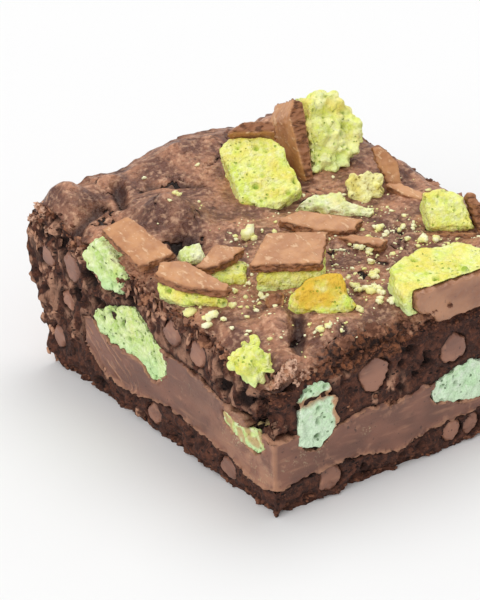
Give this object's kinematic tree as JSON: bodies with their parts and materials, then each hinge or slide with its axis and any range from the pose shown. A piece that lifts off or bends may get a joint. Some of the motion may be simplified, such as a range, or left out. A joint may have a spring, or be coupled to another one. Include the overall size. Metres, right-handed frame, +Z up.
{
  "type": "chocolate brownie",
  "caption": "Square of chocolate brownie from a tray edge, with a milk chocolate layer through it, aerated mint pieces, chocolate shards and crumbs on its crust.",
  "frame": {"origin": "centre of the flat underside, on the surface that the brownie rests on", "axes": "+Z up; +Y along the left cut towards the baked edge, the longest side; +X along the front cut"},
  "size_m": [0.0759, 0.0852, 0.0499],
  "materials": {
    "crumb": "dark brown crumb and crust, matte",
    "milk_chocolate": "milk chocolate cut by a knife, satin",
    "chip": "milk chocolate chip, satin",
    "coat": "milk chocolate, scuffed, satin",
    "mint": "aerated mint sweet, yellow-green, matte",
    "filling_mint": "aerated mint sweet, green, matte"
  },
  "bodies": {
    "root": {"back_tile_coat": "coat", "back_tile_mint": "mint", "bent_tile_coat": "coat", "bent_tile_mint": "mint", "brownie": "crumb", "centre_tile_coat": "coat", "centre_tile_mint": "mint", "chip_front_1": "chip", "chip_front_2": "chip", "chip_front_3": "chip", "chip_front_4": "chip", "chip_front_5": "chip", "chip_front_6": "chip", "chip_left_1": "chip", "chip_left_2": "chip", "chip_left_3": "chip", "chip_left_4": "chip", "chip_left_5": "chip", "chip_left_6": "chip", "chip_left_7": "chip", "chip_left_8": "chip", "chip_right_1": "chip", "chip_right_2": "chip", "corner_star_mint": "mint", "crumbly_mint": "mint", "edge_tile_coat": "coat", "edge_tile_mint": "mint", "filling_mint_corner": "filling_mint", "filling_mint_end": "filling_mint", "filling_mint_far": "filling_mint", "filling_mint_front": "filling_mint", "filling_mint_left": "filling_mint", "filling_mint_side": "filling_mint", "left_tile_coat": "coat", "left_tile_mint": "mint", "loose_shard": "coat", "low_tile_coat": "coat", "low_tile_mint": "mint", "lying_sliver": "coat", "milk_chocolate_layer": "milk_chocolate", "right_tile_coat": "coat", "right_tile_mint": "mint", "small_chip_top": "coat", "small_mint": "mint", "square_tile_coat": "coat", "square_tile_mint": "mint", "standing_flake": "coat", "toasted_mint": "mint", "wedge_coat": "coat", "wedge_mint": "mint"}
  },
  "joints": []
}
